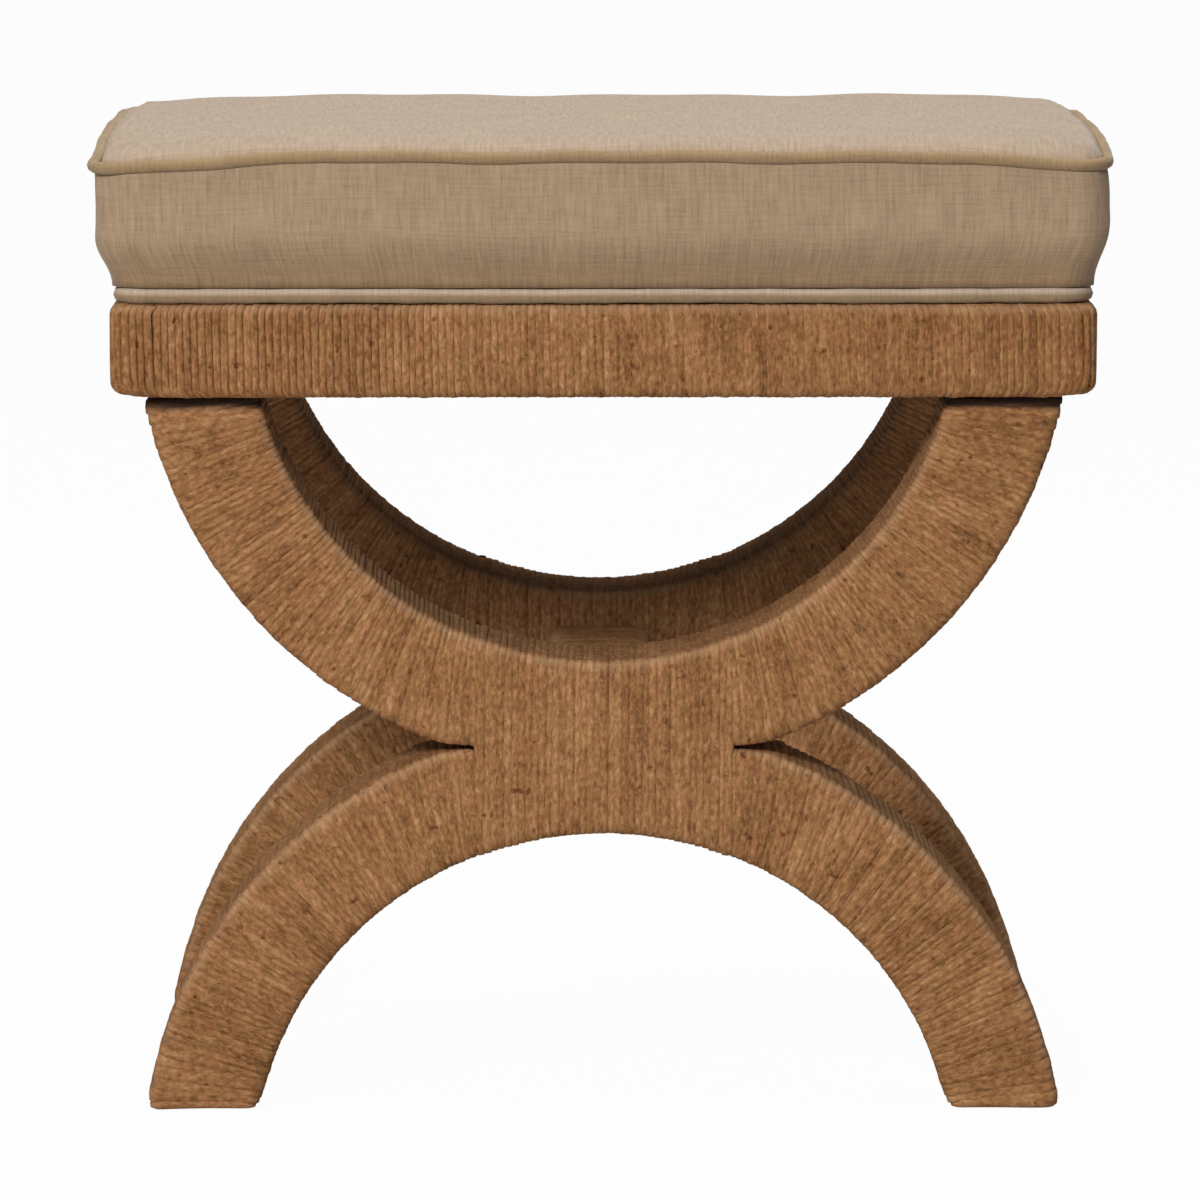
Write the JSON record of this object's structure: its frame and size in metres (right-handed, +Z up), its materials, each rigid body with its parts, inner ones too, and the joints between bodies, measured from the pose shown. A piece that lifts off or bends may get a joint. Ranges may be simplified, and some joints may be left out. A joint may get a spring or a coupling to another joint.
{
  "type": "x frame stool",
  "caption": "Fixed X-frame footstool: curved wooden frames wrapped in jute cord, joined by a stretcher, under a cord-wrapped rail box and a piped linen seat pad.",
  "frame": {"origin": "on the floor, under the middle of the stool", "axes": "+Z up, +X along the seat's long side to the right seen from the front, -Y to the front"},
  "size_m": [0.5012, 0.3548, 0.4838],
  "materials": {
    "jute_cord": "rough twisted jute",
    "frame_wood": "planed, unfinished",
    "plywood": "sanded, unfinished",
    "dowel_wood": "turned, unfinished",
    "screw_steel": "zinc plated",
    "glide_plastic": "moulded",
    "foam": "open-cell foam",
    "linen": "slubby plain weave",
    "linen_piping": "slubby plain weave",
    "dust_cloth": "non-woven"
  },
  "bodies": {
    "root": {"bottom_piping": "linen_piping", "cleat_screws": "screw_steel", "dust_cover": "dust_cloth", "foam_core": "foam", "foot_glides": "glide_plastic", "front_lower_arc": "frame_wood", "front_lower_left_wrap": "jute_cord", "front_lower_right_wrap": "jute_cord", "front_rail": "frame_wood", "front_rail_wrap": "jute_cord", "front_upper_arc": "frame_wood", "front_upper_left_wrap": "jute_cord", "front_upper_right_wrap": "jute_cord", "front_waist_wrap": "jute_cord", "left_rail": "frame_wood", "left_rail_wrap": "jute_cord", "left_seat_cleat": "frame_wood", "mitre_splines": "plywood", "post_screws": "screw_steel", "rear_lower_arc": "frame_wood", "rear_lower_left_wrap": "jute_cord", "rear_lower_right_wrap": "jute_cord", "rear_rail": "frame_wood", "rear_rail_wrap": "jute_cord", "rear_upper_arc": "frame_wood", "rear_upper_left_wrap": "jute_cord", "rear_upper_right_wrap": "jute_cord", "rear_waist_wrap": "jute_cord", "right_rail": "frame_wood", "right_rail_wrap": "jute_cord", "right_seat_cleat": "frame_wood", "seat_board": "plywood", "seat_cover": "linen", "seat_screws": "screw_steel", "stretcher_core": "frame_wood", "stretcher_dowels": "dowel_wood", "stretcher_wrap": "jute_cord", "top_piping": "linen_piping", "waist_dowels": "dowel_wood"}
  },
  "joints": []
}
